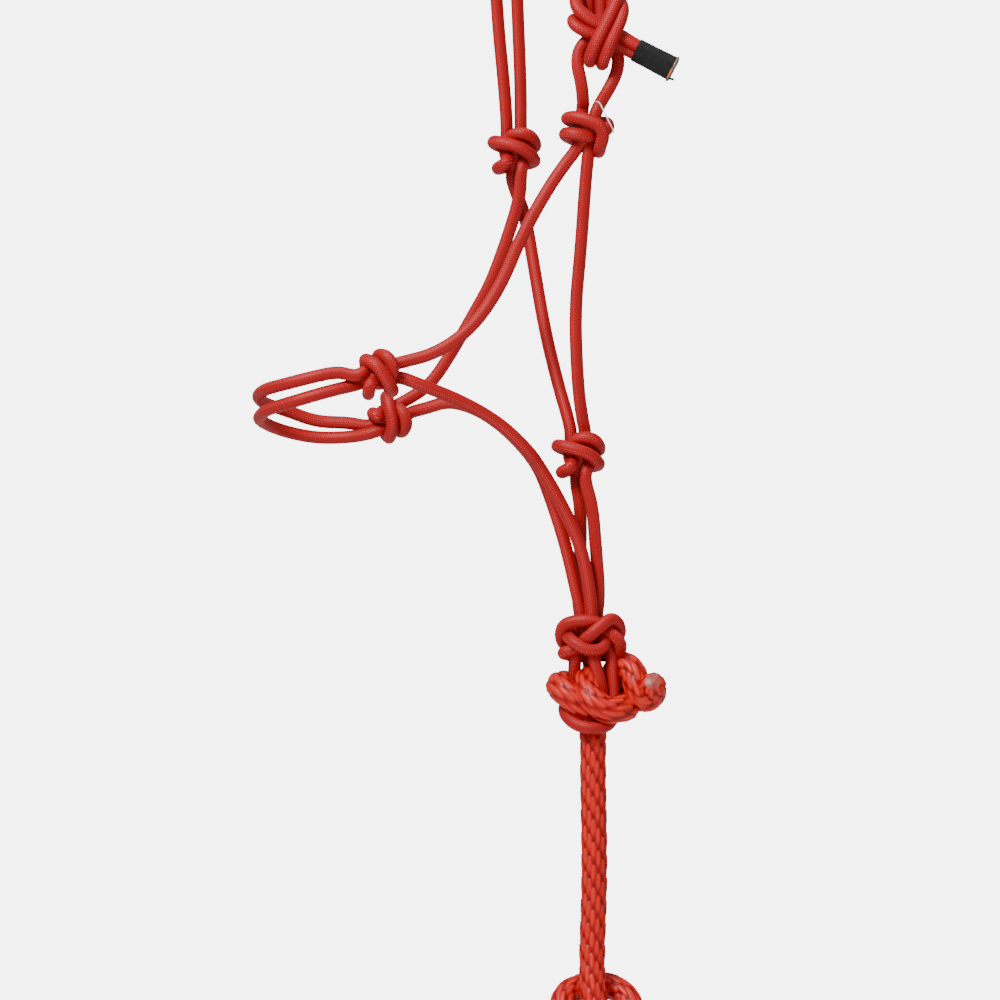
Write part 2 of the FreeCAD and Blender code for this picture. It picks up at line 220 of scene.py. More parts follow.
def plain_material(name, colours, roughness, noise_scale, bump):
    """A finish whose colour wanders between a few tones, with fine bumps."""
    material = bpy.data.materials.new(name)
    material.use_nodes = True
    tree = material.node_tree
    shader = tree.nodes["Principled BSDF"]
    coordinates = node(tree, "ShaderNodeTexCoord").outputs["Object"]
    noise = node(tree, "ShaderNodeTexNoise", Scale=noise_scale, Detail=6.0, Roughness=0.65)
    tree.links.new(coordinates, noise.inputs["Vector"])
    spread = [(0.3 + 0.4 * k / (len(colours) - 1), colour) for k, colour in enumerate(colours)]
    tree.links.new(ramp(tree, noise.outputs["Fac"], spread), shader.inputs["Base Color"])
    rough = maths(tree, "ADD", maths(tree, "MULTIPLY", noise.outputs["Fac"], 0.3), roughness - 0.15)
    tree.links.new(rough, shader.inputs["Roughness"])
    bumps = node(tree, "ShaderNodeBump", Strength=bump, Distance=0.0004)
    tree.links.new(noise.outputs["Fac"], bumps.inputs["Height"])
    tree.links.new(bumps.outputs["Normal"], shader.inputs["Normal"])
    shader.inputs["Specular IOR Level"].default_value = 0.3
    return material


# Ramp tones of the braids' red: the darkest stops are painted shade in the hollows and stitch holes, and
# the lightest stops are painted highlight on the raised yarn.
HALTER_SHADED_TONES = [(0.0, (0.10, 0.0003, 0.0008)), (0.38, (0.36, 0.0015, 0.0025)),
                (0.66, (0.50, 0.006, 0.008)), (1.0, (0.94, 0.20, 0.19))]
LEAD_SHADED_TONES = [(0.12, (0.010, 0.0001, 0.0001)), (0.42, (0.28, 0.0004, 0.0003)),
              (0.8, (0.54, 0.0015, 0.0008)), (1.0, (0.72, 0.02, 0.010))]
halter_red = rope_material("halter_sheath", HALTER_SHADED_TONES, 0.52, 0.05, 0.0, 100.0, 0.6, 0.35, 0.00012)
lead_red = rope_material("lead_braid", LEAD_SHADED_TONES, 0.4, 0.02, 0.03, 75.0, 0.02, 0.5, 0.0002)
tape_black = plain_material(
    "tape", [(0.003, 0.003, 0.0035), (0.006, 0.006, 0.006), (0.014, 0.013, 0.013)], 0.5, 220.0, 0.3)
melted = plain_material(
    "melted", [(0.05, 0.03, 0.025), (0.20, 0.15, 0.12), (0.33, 0.27, 0.22)], 0.4, 330.0, 0.8)
melted_red = plain_material(
    "melted_red", [(0.26, 0.03, 0.025), (0.36, 0.07, 0.055), (0.45, 0.13, 0.10)], 0.32, 260.0, 0.5)
melted_orange = plain_material(
    "melted_orange", [(0.55, 0.08, 0.01), (0.80, 0.17, 0.02), (0.85, 0.25, 0.05)], 0.35, 300.0, 0.5)
thread_white = plain_material(
    "thread", [(0.80, 0.78, 0.76), (0.88, 0.87, 0.85), (0.93, 0.92, 0.91)], 0.6, 900.0, 0.3)


# ---------------------------------------------------------------- rope lines
RESOLUTION = 12                  # points on the line for each span between two points of a route


def spline_line(points):
    """The points of a smooth NURBS line whose control points are a route's points."""
    curve = bpy.data.curves.new("line", "CURVE")
    curve.dimensions = "3D"
    curve.resolution_u = RESOLUTION
    spline = curve.splines.new("NURBS")
    spline.points.add(len(points) - 1)
    for target, point in zip(spline.points, points):
        target.co = (*point, 1)
    spline.order_u = 3
    spline.use_endpoint_u = True
    spline.resolution_u = RESOLUTION
    carrier = bpy.data.objects.new("line", curve)
    mesh = bpy.data.meshes.new_from_object(carrier)
    line = np.array([vertex.co for vertex in mesh.vertices])
    bpy.data.objects.remove(carrier)
    bpy.data.meshes.remove(mesh)
    bpy.data.curves.remove(curve)
    return line


def along_line(line):
    """How far each of a line's points is from its start."""
    return np.concatenate([[0.0], np.cumsum(np.linalg.norm(np.diff(line, axis=0), axis=1))])


def even_rings(line, step, fine=0.0, fine_step=1.0):
    """Spaced points along a line, closer over its fine first stretch, with the two directions
    across the rope carried along unturned."""
    run = along_line(line)
    first = np.arange(0, fine, fine_step)
    count = max(4, int(round((run[-1] - fine) / step)))
    at = np.concatenate([first, np.linspace(fine, run[-1], count + 1)])
    centre = np.stack([np.interp(at, run, line[:, k]) for k in range(3)], axis=1)
    ahead = np.gradient(centre, at, axis=0)
    ahead /= np.linalg.norm(ahead, axis=1)[:, None]
    side = np.empty_like(ahead)
    first = np.cross(ahead[0], (0.3, 1.0, 0.2))
    side[0] = first / np.linalg.norm(first)
    for k in range(1, len(ahead)):
        carried = side[k - 1] - ahead[k] * side[k - 1].dot(ahead[k])
        side[k] = carried / np.linalg.norm(carried)
    return at, centre, side, np.cross(ahead, side)


class Rope:
    """One rope: its size, how many points go round it, how far apart its rings are, and its look."""

    def __init__(self, diameter, around, step, relief_and_shade, material, slot):
        self.radius = diameter / 2
        self.around = around
        self.step = step
        self.relief_and_shade = relief_and_shade
        self.material = material
        self.slot = slot


SHEATH_HEIGHT = 0.16 * MM
SHEATH_STEP = 0.76 * MM
# How high each column's dots stand, which also sets how much painted highlight they get.
SHEATH_ROWS = np.array([0.85, 0.1, 0.85, 0.1, 0.5, 0.05, 0.5, 0.05, 0.5, 0.1])


def sheath_relief(at, around):
    """A fine braid: pairs of rows of raised dots, with fainter rows between the pairs; the colour level
    is higher on the raised dots, a painted highlight, and lower between them, painted shade.
    """
    ring = np.arange(len(at))[:, None]
    column = np.arange(around)[None, :]
    dots = (ring + column // 2 + column // 10) % 2
    raised = dots * SHEATH_ROWS[column % 10]
    # First value: colour level, with painted highlight on the raised dots and painted shade between them;
    # second: how far each point stands out.
    return 0.35 + 0.65 * raised, (raised - 0.3) * 1.4 * SHEATH_HEIGHT


STITCH = 15.0 * MM
STITCH_COLUMNS = 16
STITCH_DEPTH = 1.5 * MM
STITCH_SHIFT = 0.37              # of a stitch, from one column to the next


def smooth(low, high, value):
    """A smooth step from 0 at low to 1 at high."""
    share = np.clip((value - low) / (high - low), 0, 1)
    return share * share * (3 - 2 * share)


def stitch_height(place, at, column):
    """One column of leaf-shaped stitches, each tucked under the next at both its ends."""
    phase = (at / STITCH + column * STITCH_SHIFT) % 1.0
    swell = smooth(0.0, 0.35, phase) * (1 - smooth(0.45, 1.0, phase))
    width = 0.42 + 0.42 * swell
    across = np.abs(place - column - 0.5) / width
    crown = np.sqrt(np.clip(1 - across ** 2, 0, 1))
    return crown * (0.3 + 0.7 * smooth(0.0, 0.14, phase) * (1 - 0.9 * smooth(0.6, 1.0, phase)))


def stitch_relief(at, around):
    """A solid braid: the highest of the neighbouring columns' stitches shows; its height is also the
    colour level, with painted shade where the stitches tuck under and painted highlight on their crowns.
    """
    place = (np.arange(around)[None, :] + 0.5) / around * STITCH_COLUMNS
    column = np.floor(place)
    distance = at[:, None]
    height = stitch_height(place, distance, column)
    for side in (-1, 1):
        height = np.maximum(height, stitch_height(place, distance, column + side))
    # First value: colour level, with painted shade at the tucked stitch ends and painted highlight on the
    # crowns; second: how far each point stands out.
    return height, (height - 0.72) * STITCH_DEPTH


def rope_mesh(name, runs, rope):
    """One mesh of one or more rope runs; each run is (rings, first, last, cap at each end)."""
    verts, quads, caps, uvs, relief_and_shade = [], [], [], [], []
    base = 0
    for rings, first, last, caps_wanted in runs:
        at, centre, side, up = rings
        values, lift = rope.relief_and_shade(at, rope.around)
        chosen = slice(first, last + 1)
        angle = np.arange(rope.around) / rope.around * 2 * math.pi
        rounding = np.ones(last - first + 1)
        from_ends = (at[chosen] - at[first], at[last] - at[chosen])
        for wanted, left in zip(caps_wanted, from_ends):
            if wanted:
                near = np.clip(1 - left / (0.8 * rope.radius), 0, 1)
                rounding = rounding * np.sqrt(1 - 0.62 * near ** 2)
        fade = smooth(0.62, 1.0, rounding)[:, None]
        reach = ((rope.radius + lift[chosen] * fade) * rounding[:, None])[:, :, None]
        out = side[chosen][:, None] * np.cos(angle)[None, :, None]
        out = out + up[chosen][:, None] * np.sin(angle)[None, :, None]
        ring_verts = centre[chosen][:, None] + out * reach
        rows = last - first + 1
        verts.append(ring_verts.reshape(-1, 3))
        relief_and_shade.append(values[chosen].reshape(-1))
        k, j = np.meshgrid(np.arange(rows - 1), np.arange(rope.around), indexing="ij")
        after = (j + 1) % rope.around
        corners = np.stack([k * rope.around + j, k * rope.around + after,
                            (k + 1) * rope.around + after, (k + 1) * rope.around + j], axis=2)
        quads.append(corners.reshape(-1, 4) + base)
        turn = np.stack([j, j + 1, j + 1, j], axis=2) / rope.around
        length = np.stack([at[first + k], at[first + k], at[first + k + 1], at[first + k + 1]], axis=2)
        uvs.append(np.stack([turn, length / (2 * math.pi * rope.radius)], axis=3).reshape(-1, 2))
        for end, wanted in zip((0, rows - 1), caps_wanted):
            if wanted:
                loop = [base + end * rope.around + n for n in range(rope.around)]
                caps.append(loop if end else loop[::-1])
        base += rows * rope.around
    verts = np.concatenate(verts)
    faces = np.concatenate(quads).tolist() + caps
    mesh = bpy.data.meshes.new(name)
    mesh.from_pydata(verts.tolist(), [], faces)
    layer = mesh.uv_layers.new(name="yarn")
    uv = np.zeros((len(mesh.loops), 2))
    body_uv = np.concatenate(uvs)
    uv[:len(body_uv)] = body_uv
    layer.data.foreach_set("uv", uv.astype(np.float32).ravel())
    # This attribute holds the colour level: painted shade in the braid's hollows and painted highlight on
    # its raised tops.
    field = mesh.attributes.new("relief_and_shade", "FLOAT", "POINT")
    field.data.foreach_set("value", np.concatenate(relief_and_shade).astype(np.float32))
    mesh.shade_smooth()
    mesh.materials.append(rope.material)
    mesh.materials.append(melted_red)
    for cap in mesh.polygons[len(faces) - len(caps):]:
        cap.material_index = 1
    piece = bpy.data.objects.new(name, mesh)
    scene.collection.objects.link(piece)
    return piece


halter_rope = Rope(8.6 * MM, 40, SHEATH_STEP, sheath_relief, halter_red, "halter_rope")
lead_rope = Rope(16.9 * MM, 80, 1.0 * MM, stitch_relief, lead_red, "lead_rope")
squeezed_rope = Rope(17.6 * MM, 80, 1.0 * MM, stitch_relief, lead_red, "lead_rope")


# ---------------------------------------------------------------- knot centres
def middle(name):
    """The middle of a CAD part's box."""
    low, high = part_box(name)
    return (low + high) / 2


KNOTS = {
    "tie": middle("crown_tie_knot"),
    "cheek_near": middle("cheek_knot_near"),
    "cheek_far": middle("cheek_knot_far"),
    "throat": middle("throat_knot"),
    "nose_near": middle("nose_knot_near"),
    "nose_far": middle("nose_knot_far"),
    "fiador": middle("fiador_knot"),
    "lead": middle("lead_knot"),
    "stopper": middle("lead_stopper_knot"),
    "coil": middle("lead_coil"),
    "crown": Vector((0, 0, 0)),
}
lead_exit = Vector((KNOTS["lead"].x - 8.4 * MM, 0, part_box("lead_knot")[0].z))
KNOTS["lead_exit"] = lead_exit


def spots(points):
    """World points from (knot, offset in millimetres) pairs."""
    return [KNOTS[knot] + Vector(offset) * MM for knot, offset in points]


# ---------------------------------------------------------------- the halter's overhand knots
# One knot in rope diameters: +x right, -y towards the viewer, +z where its ropes come in.
WRAPPING = [
    (-0.65, 0.4, 1.7), (-0.8, 0.5, 0.5), (-0.85, 0.15, -0.3), (-0.55, -0.9, -0.7),
    (-0.75, -1.35, -1.05), (-1.5, -0.75, -1.45), (-1.4, 0.7, -1.45), (-0.6, 1.55, -1.15),
    (0.8, 1.5, -1.0), (1.7, 0.7, -0.85), (1.65, -0.75, -0.65), (0.9, -1.5, 0.1),
    (-0.5, -1.55, 0.55), (-1.75, -0.95, 0.85), (-1.9, 0.5, 0.75), (-0.8, 1.5, 0.35),
    (0.7, 1.5, 0.2), (1.7, 0.8, 0.35), (1.75, -0.5, 0.7), (1.35, -1.25, 1.3),
    (0.4, -1.35, 1.55), (-0.45, -0.8, 1.25), (-0.15, -0.35, 0.4), (0.05, -0.1, -0.6),
    (-0.15, 0.5, -1.4), (-0.3, 0.5, -2.2)]
STRAIGHT = [
    (0.5, 0.3, 2.2), (0.55, 0.4, 1.2), (0.7, 0.5, 0.3), (0.9, 0.15, -0.5), (0.6, -0.5, -1.3),
    (0.5, -0.5, -2.2)]
# The near cheek knot is drawn up differently, with its two turns crossing on the right.
CHEEK_WRAPPING = [
    (-0.25, 0.4, 1.9), (-0.3, 0.4, 1.0), (-0.3, 0.3, 0.1), (0.5, -0.3, -0.5), (0.3, -1.05, -0.7),
    (-0.7, -1.3, -0.5), (-1.7, -0.8, -0.35), (-1.7, 0.6, -0.5), (-0.6, 1.5, -0.9),
    (0.8, 1.35, -1.5), (1.1, 0.2, -1.95), (1.15, -0.9, -1.6), (1.5, -1.4, -0.6), (1.1, -1.65, 0.25),
    (0.15, -1.65, 0.68), (-0.9, -1.4, 0.95), (-1.6, -0.5, 0.9), (-1.4, 0.8, 0.8), (-0.3, 1.5, 0.6),
    (1.1, 1.5, 0.6), (1.9, 0.7, 0.6), (1.8, 0.0, -0.1), (0.9, -0.4, -0.3), (0.0, -0.4, -0.6),
    (-0.55, -0.1, -1.3), (-1.15, 0.0, -2.2)]
CHEEK_STRAIGHT = [
    (0.8, -0.2, 1.3), (0.7, -0.1, 0.6), (0.5, 0.1, -0.4), (0.3, -0.1, -1.4), (0.2, -0.1, -2.2)]
ROPE_WIDTH = 8.0                 # millimetres
KNOT_TURNS = {                   # mirrored, turned clockwise by so many degrees, and how loose
    "cheek_far": (1, 0, 0.98), "cheek_near": (1, 0, 1.0), "throat": (1, 0, 0.98),
    "nose_near": (-1, 73, 0.88), "nose_far": (1, 62, 0.9)}
KNOT_SHIFT = {"nose_far": -3.5}  # to the right, in millimetres
KNOT_BULGE = {"nose_far": 0.72}  # how far the lower left turn stands out
BULGE_POINTS = (4, 5, 6)


def knot_points(knot, shape):
    """A knot's route, turned and drawn up as that knot is."""
    mirror, degrees, looseness = KNOT_TURNS[knot]
    shift = KNOT_SHIFT.get(knot, 0.0)
    angle = math.radians(degrees)
    points = []
    for number, (x, y, z) in enumerate(shape):
        if shape is WRAPPING and number in BULGE_POINTS:
            x *= KNOT_BULGE.get(knot, 1.0)
            z *= KNOT_BULGE.get(knot, 1.0)
        x *= mirror
        right = x * math.cos(angle) + z * math.sin(angle)
        upwards = z * math.cos(angle) - x * math.sin(angle)
        across, depth, height = (value * ROPE_WIDTH * looseness for value in (right, y, upwards))
        points.append((knot, (across + shift, depth, height)))
    return points


def wrapping(knot):
    return knot_points(knot, CHEEK_WRAPPING if knot == "cheek_near" else WRAPPING)


def straight(knot):
    return knot_points(knot, CHEEK_STRAIGHT if knot == "cheek_near" else STRAIGHT)


# ---------------------------------------------------------------- routes of the halter rope
def back(points):
    """A route from its other end."""
    return list(reversed(points))


def at_knot(knot, offsets):
    """A route whose points are all measured from one knot."""
    return [(knot, offset) for offset in offsets]


CROWN_FRONT = [
    ("cheek_far", (-7, -1, 42)), ("cheek_far", (-12, -5, 92)),
    ("crown", (-41, 15, -150)), ("crown", (-39, 8, -98)), ("crown", (-33, 2, -54)),
    ("crown", (-24, -3, -18)), ("crown", (-11, -4.7, 4)), ("crown", (11, -4.7, 4)),
    ("crown", (25, -6, -17)), ("crown", (34, -8, -50)), ("crown", (38, -13, -95)),
    ("crown", (36, -20, -145))]
CROWN_BACK = [
    ("cheek_far", (4, 2, 42)), ("cheek_far", (2, 0, 92)),
    ("crown", (-27, 23, -150)), ("crown", (-29, 17, -98)), ("crown", (-29, 11, -54)),
    ("crown", (-23, 7, -18)), ("crown", (-11, 4.7, 4)), ("crown", (11, 4.7, 4)),
    ("crown", (24, 4, -17)), ("crown", (30, 1, -50)), ("crown", (30, -5, -95)),
    ("crown", (26, -13, -145))]
TIE_OF_FRONT = at_knot("tie", [
    (1.3, 10.5, 24), (1.3, 10.5, 6), (2, 10, -10), (2, 8, -20), (2, 0, -26.5), (2.5, -9, -24),
    (6, -13, -16), (10, -13, -6.5), (14, -12.5, 2), (16, -10, 10), (14, -3, 16), (9, 10, 16),
    (1, 19, 11), (-8, 17, 7), (-15.5, 9, 5), (-17.5, 0, 3.5), (-15.5, -4, -0.5), (-9.5, -5, -4),
    (-2, -4, -6.5), (5, -3.2, -9.5)])
TIE_OF_BACK = at_knot("tie", [
    (-7.2, 10.5, 24), (-7, 10.5, 4), (-6.5, 9.5, -10), (-6, 7, -19), (-5.8, -1, -25),
    (-6, -9.5, -21.5), (-3, -13.5, -14.5), (2, -13.8, -4.5), (7.8, -13.8, 6.8), (13, -11.5, 20),
    (13, 0, 28), (7, 15, 30), (-5, 19, 28), (-14, 13, 27), (-15.5, 3, 23), (-15.5, -4.5, 12),
    (-9.5, -6.5, 6), (-2.5, -5.8, 1.5), (6, -5, -2.5)])
TAIL_UPPER = [("tie", (13, -5.4, -6)), ("tie", (20, -6.6, -10.8)), ("tie", (30, -6.9, -16.5)),
              ("tie", (45.5, -6.9, -24.7))]
TAIL_LOWER = [("tie", (12, -2.6, -13)), ("tie", (18, -1.9, -15.8)), ("tie", (28, -1.7, -21)),
              ("tie", (43.5, -1.7, -29.1))]
TIE_LOOP = [
    ("cheek_near", (-1.5, 1, 17)), ("tie", (-11.5, 2, -38)), ("tie", (-14.5, 2, -26)),
    ("tie", (-13.5, 3, -16)), ("tie", (-8, 3, -9)), ("tie", (2, 3, -7)), ("tie", (10, 3.5, -11)),
    ("tie", (13.2, 4, -21)), ("tie", (12, 4, -31)), ("tie", (6.5, 2, -42)), ("cheek_near", (9.5, -1, 17))]
CHEEK_NEAR = [
    ("cheek_near", (-13, 0, -22)), ("cheek_near", (-26, -4, -41)),
    ("cheek_near", (-43, -7, -72)), ("cheek_near", (-56, -8, -104)),
    ("nose_near", (62, 3, 31)), ("nose_near", (38, 2, 14))]
CHEEK_FAR = [
    ("cheek_far", (3.5, -2, -30)), ("cheek_far", (-5, 0, -58)),
    ("cheek_far", (-16, 3, -88)), ("nose_far", (56, -5, 73)), ("nose_far", (40, -3, 45)),
    ("nose_far", (25, -1, 22))]
THROAT_NEAR = [
    ("cheek_near", (0, 2, -33)), ("cheek_near", (-3, 10, -78)),
    ("throat", (-3, -12, 95)), ("throat", (-1, -6, 48)), ("throat", (2, 0, 25))]
THROAT_FAR = [
    ("cheek_far", (0, 8, -25)), ("cheek_far", (7, 8, -42)),
    ("cheek_far", (13, 2, -78)), ("cheek_far", (20, -7, -120)), ("throat", (-14, 12, 48)),
    ("throat", (-7, 5, 24))]
JAW_LEFT = [("throat", (1, 4, -34)), ("fiador", (-6, 8, 58)), ("fiador", (-8.5, 9.5, 28))]
JAW_RIGHT = [("throat", (9, -4, -34)), ("fiador", (4, -1, 58)), ("fiador", (6.5, 2, 28))]
CHIN_NEAR = [
    ("nose_near", (27, 1, -6.5)), ("nose_near", (53, 8, -16.5)),
    ("nose_near", (79, 14, -31)), ("nose_near", (98, 19, -49)), ("fiador", (-33, -16, 112)),
    ("fiador", (-19, -11, 88)), ("fiador", (-6, -8, 60)), ("fiador", (0, -6.5, 29))]
CHIN_FAR = [
    ("nose_far", (22, -2.5, 6.5)), ("nose_far", (36, -6, 11)), ("nose_far", (49, -11, 8.5)),
    ("nose_far", (63, -17, 2)), ("nose_far", (79, -22, -10.5)), ("fiador", (-35, 10, 115)),
    ("fiador", (-25.5, 7, 90)), ("fiador", (-16, 3, 60)), ("fiador", (-9, 0.5, 29))]
NOSEBAND_UPPER = [
    ("nose_near", (-27, -3, 2)), ("nose_near", (-45, -5, -2)),
    ("nose_near", (-63, 0, -6.5)), ("nose_near", (-76, 14, -9.5)), ("nose_near", (-81, 34, -13)),
    ("nose_far", (-89, -34, 12)), ("nose_far", (-85, -16, 9)), ("nose_far", (-72, -1, 5)),
    ("nose_far", (-52, 5, -2.5)), ("nose_far", (-30, 4, -3))]
NOSEBAND_LOWER = [
    ("nose_near", (-27, -2, -9.5)), ("nose_near", (-45, -5, -14.5)),
    ("nose_near", (-62, 1, -19.5)), ("nose_near", (-75, 15, -23)), ("nose_near", (-80, 33, -27)),
    ("nose_far", (-89, -33, -1.5)), ("nose_far", (-84, -15, -5)), ("nose_far", (-72, -1, -9.5)),
    ("nose_far", (-52, 6, -13.5)), ("nose_far", (-30, 3, -13))]

# Each line of rope, from end to end: the piece that each stretch belongs to, then its points.
HALTER_LINES = [
    [("tail_upper", back(TAIL_UPPER)), ("crown_tie", back(TIE_OF_BACK)),
     ("crown_back", back(CROWN_BACK)), ("cheek_knot_far", straight("cheek_far")),
     ("cheek_far", CHEEK_FAR), ("nose_knot_far", wrapping("nose_far")),
     ("noseband_upper", back(NOSEBAND_UPPER)), ("nose_knot_near", back(straight("nose_near"))),
     ("cheek_near", back(CHEEK_NEAR)), ("cheek_knot_near", back(wrapping("cheek_near"))),
     ("tie_loop", TIE_LOOP), ("cheek_knot_near", straight("cheek_near")),
     ("throat_near", THROAT_NEAR), ("throat_knot", straight("throat")),
     ("jaw_right", JAW_RIGHT + [("fiador", (4, 3, 10)), ("fiador", (4, 3, -4))])],
    [("tail_lower", back(TAIL_LOWER)), ("crown_tie", back(TIE_OF_FRONT)),
     ("crown_front", back(CROWN_FRONT)), ("cheek_knot_far", wrapping("cheek_far")),
     ("throat_far", THROAT_FAR), ("throat_knot", wrapping("throat")),
     ("jaw_left", JAW_LEFT + [("fiador", (-6, 8, 10)), ("fiador", (-5, 7, -4))])],
    [("chin_near", [("fiador", (1, -4, -4)), ("fiador", (1, -5, 12))] + back(CHIN_NEAR)),
     ("nose_knot_near", wrapping("nose_near")),
     ("noseband_lower", NOSEBAND_LOWER), ("nose_knot_far", back(straight("nose_far"))),
     ("chin_far", CHIN_FAR + [("fiador", (-5, 0, 12)), ("fiador", (-4, 0, -4))])],
]

# The fiador knot's bands and the lead loop, whose ends are tucked inside the knot.
FIADOR_BANDS = [
    at_knot("fiador", [
        (8, 2, 3), (7, -6, 8), (0, -9.5, 10.5), (-9, -8.5, 10.5), (-17.5, -5, 8), (-20, 0, 1),
        (-17, 6, -7), (-6, 10, -8), (6, 9, -5), (14, 9, 4), (8, 12, 10), (-4, 13, 6), (-15, 8, 2),
        (-15, -3, 0), (-11, -9.5, -4), (-3, -12, -9), (6, -11, -9.5), (11, -8, -4), (8, -2, 2)]),
    at_knot("fiador", [
        (-3, -1, -5), (-5, -6, -3.5), (0, -13.5, 1), (7, -13, 7), (14, -9, 12.5), (19, -4, 8.5),
        (20.5, 2, 1), (14, 8, -6), (4, 8, -8)]),
    at_knot("fiador", [
        (2, 2, 4), (8, -4, 6), (15, -8, 1.5), (21, -7, -5), (19, 2, -13), (6, 8, -13), (-8, 6, -14),
        (-17, 2, -12), (-18, -5, -11), (-10, -6, -9), (-3, 0, -6)]),
]
LEAD_BIGHTS = {
    "lead_loop_front": [
        ("fiador", (-9, -1, -3)), ("fiador", (-10, -2, -14)), ("lead", (-21, 2, 20)),
        ("lead", (-22, 5, 8)), ("lead", (-27, 5, -2)), ("lead", (-28, -3, -9)),
        ("lead", (-21, -12, -16)), ("lead", (-10, -16, -18.5)), ("lead", (0, -12, -17.5)),
        ("lead", (5, -4, -12)), ("lead", (5, -3, 2)), ("lead", (4, -3, 20)),
        ("fiador", (14, -2, -12)), ("fiador", (12, 0, -2))],
    "lead_loop_back": [
        ("fiador", (1, -5, -4)), ("fiador", (2, -6, -14)), ("lead", (-6, -7, 20)),
        ("lead", (-3, -7, 8)), ("lead", (-2, -2, -6)), ("lead", (-7, 7, -8)), ("lead", (-11, 9, 8)),
        ("lead", (-11, 9, 22)), ("fiador", (-1, 7, -12)), ("fiador", (-1, 5, -3))],
}


def lay_halter():
    """Sweep every line of the halter rope and gather its stretches into named pieces."""
    stretches = {}
    for sections in HALTER_LINES:
        points = spots([point for _, part in sections for point in part])
        line = spline_line(points)
        rings = even_rings(line, halter_rope.step)
        run = along_line(line)
        cuts = [0.0]
        used = 0
        for _, part in sections[:-1]:
            used += len(part)
            cuts.append(run[RESOLUTION * (used - 1)])
        cuts.append(run[-1])
        marks = [int(round(cut / run[-1] * (len(rings[0]) - 1))) for cut in cuts]
        for number, (label, _) in enumerate(sections):
            ends = (number == 0, number == len(sections) - 1)
            stretches.setdefault(label, []).append((rings, marks[number], marks[number + 1], ends))
    return stretches


# Each piece of the halter rope: its body, and the CAD parts that it stands for.
REPLACED = {
    "tail_upper": ("tail", ["tail_strand_upper"]),
    "tail_lower": ("tail", ["tail_strand_lower"]),
    "crown_tie": ("halter", ["crown_tie_knot", "crown_bight_left", "crown_bight_right"]),
    "crown_back": ("halter", ["crown_strand_back"]),
    "crown_front": ("halter", ["crown_strand_front"]),
    "cheek_knot_far": ("halter", ["cheek_knot_far"]),
    "cheek_knot_near": ("halter", ["cheek_knot_near"]),
    "cheek_far": ("halter", ["cheek_strand_far"]),
    "cheek_near": ("halter", ["cheek_strand_near"]),
    "nose_knot_far": ("halter", ["nose_knot_far"]),
    "nose_knot_near": ("halter", ["nose_knot_near"]),
    "noseband_upper": ("noseband", ["noseband_upper"]),
    "noseband_lower": ("noseband", ["noseband_lower"]),
    "tie_loop": ("halter", ["tie_loop_left", "tie_loop_right"]),
    "throat_near": ("halter", ["throat_strand_near"]),
    "throat_far": ("halter", ["throat_strand_far"]),
    "throat_knot": ("halter", ["throat_knot"]),
    "jaw_left": ("halter", ["jaw_strand_left"]),
    "jaw_right": ("halter", ["jaw_strand_right"]),
    "chin_near": ("halter", ["chin_strand_near"]),
    "chin_far": ("halter", ["chin_strand_far"]),
}


def bend(piece):
    """The piece keeps its place, baked into its mesh, and is attached to no body."""
    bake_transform(piece)


def make_halter():
    """Each stretch of the halter rope as a piece; the noseband and tail pieces keep their baked place,
    and the others go on the halter's body.
    """
    for label, runs in lay_halter().items():
        piece = rope_mesh(label + "_rope", runs, halter_rope)
        body, nodes = REPLACED[label]
        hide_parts(*nodes)
        if body == "noseband":
            bend(piece)
        elif body == "tail":
            bend(piece)
        else:
            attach(piece, body)


def tucked_rope(name, routes, rope):
    """Ropes whose both ends are hidden inside a knot."""
    runs = []
    for route in routes:
        rings = even_rings(spline_line(spots(route)), rope.step)
        runs.append((rings, 0, len(rings[0]) - 1, (True, True)))
    return rope_mesh(name, runs, rope)


def make_fiador():
    """The fiador knot's bands, and the lead loop that hangs from it."""
    bands = tucked_rope("fiador_knot_rope", FIADOR_BANDS, halter_rope)
    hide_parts("fiador_knot")
    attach(bands, "halter")
    for (label, route), cad in zip(LEAD_BIGHTS.items(), ("lead_loop_left", "lead_loop_right")):
        bight = tucked_rope(label + "_rope", [route], halter_rope)
        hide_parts(cad)
        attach(bight, "lead_loop")


# ---------------------------------------------------------------- lead rope
LEAD_KNOT = at_knot("lead", [
    (30.5, -19, 13), (31, -12, 10), (31, -6, 3), (24, -6, 0), (20, -4, 10), (18, -1, 20),
    (10, 6, 25), (5, 13, 16), (6, 15, 4), (12, 8, -3), (15, -3, -4.5), (8, -13.5, -6),
    (0, -16.5, -6.5), (-8.5, -15.5, -1), (-14, -9, 8), (-12, 2, 15), (-8, 12, 10), (-1, 13, 0),
    (2, 2, -9), (-8, -4.5, -8), (-18, -8.5, -3), (-27, -7.5, 5), (-32.5, 1, 10), (-27, 10, 11),
    (-17, 12, 1), (-8, 8, -11)]) + at_knot("lead_exit", [(-0.5, 1.5, -3), (0, 0, -12)])
LEAD_UPPER = [
    ("lead_exit", (0, 0, 0)), ("lead_exit", (-0.5, 0, -24)), ("lead_exit", (0.5, -1, -66)),
    ("stopper", (-1.5, -1, 78)), ("stopper", (-3, -1, 42))]
STOPPER = at_knot("stopper", [
    (-3, -5, 22), (-2, -9, 8), (2, -9, -8), (12, -5, -19), (22, 2, -13), (24, 5, 3), (14, 13, 14),
    (-3, 16, 16), (-19, 10, 12), (-24, -2, 2), (-18, -4, -11), (-8, 5, -17), (-1, 6, -28)])
LEAD_LOWER = [
    ("stopper", (1, 2, -42)), ("coil", (-8, -4, 104)), ("coil", (-27, -11, 87))]
CORD_STEP = 2.5 * MM             # between rings, and closer over the first stretch
FINE_STRETCH = 0.42              # metres
FINE_STEP = 1.1 * MM
COIL_START = 124.0               # degrees round from +X, where the rope joins the coil
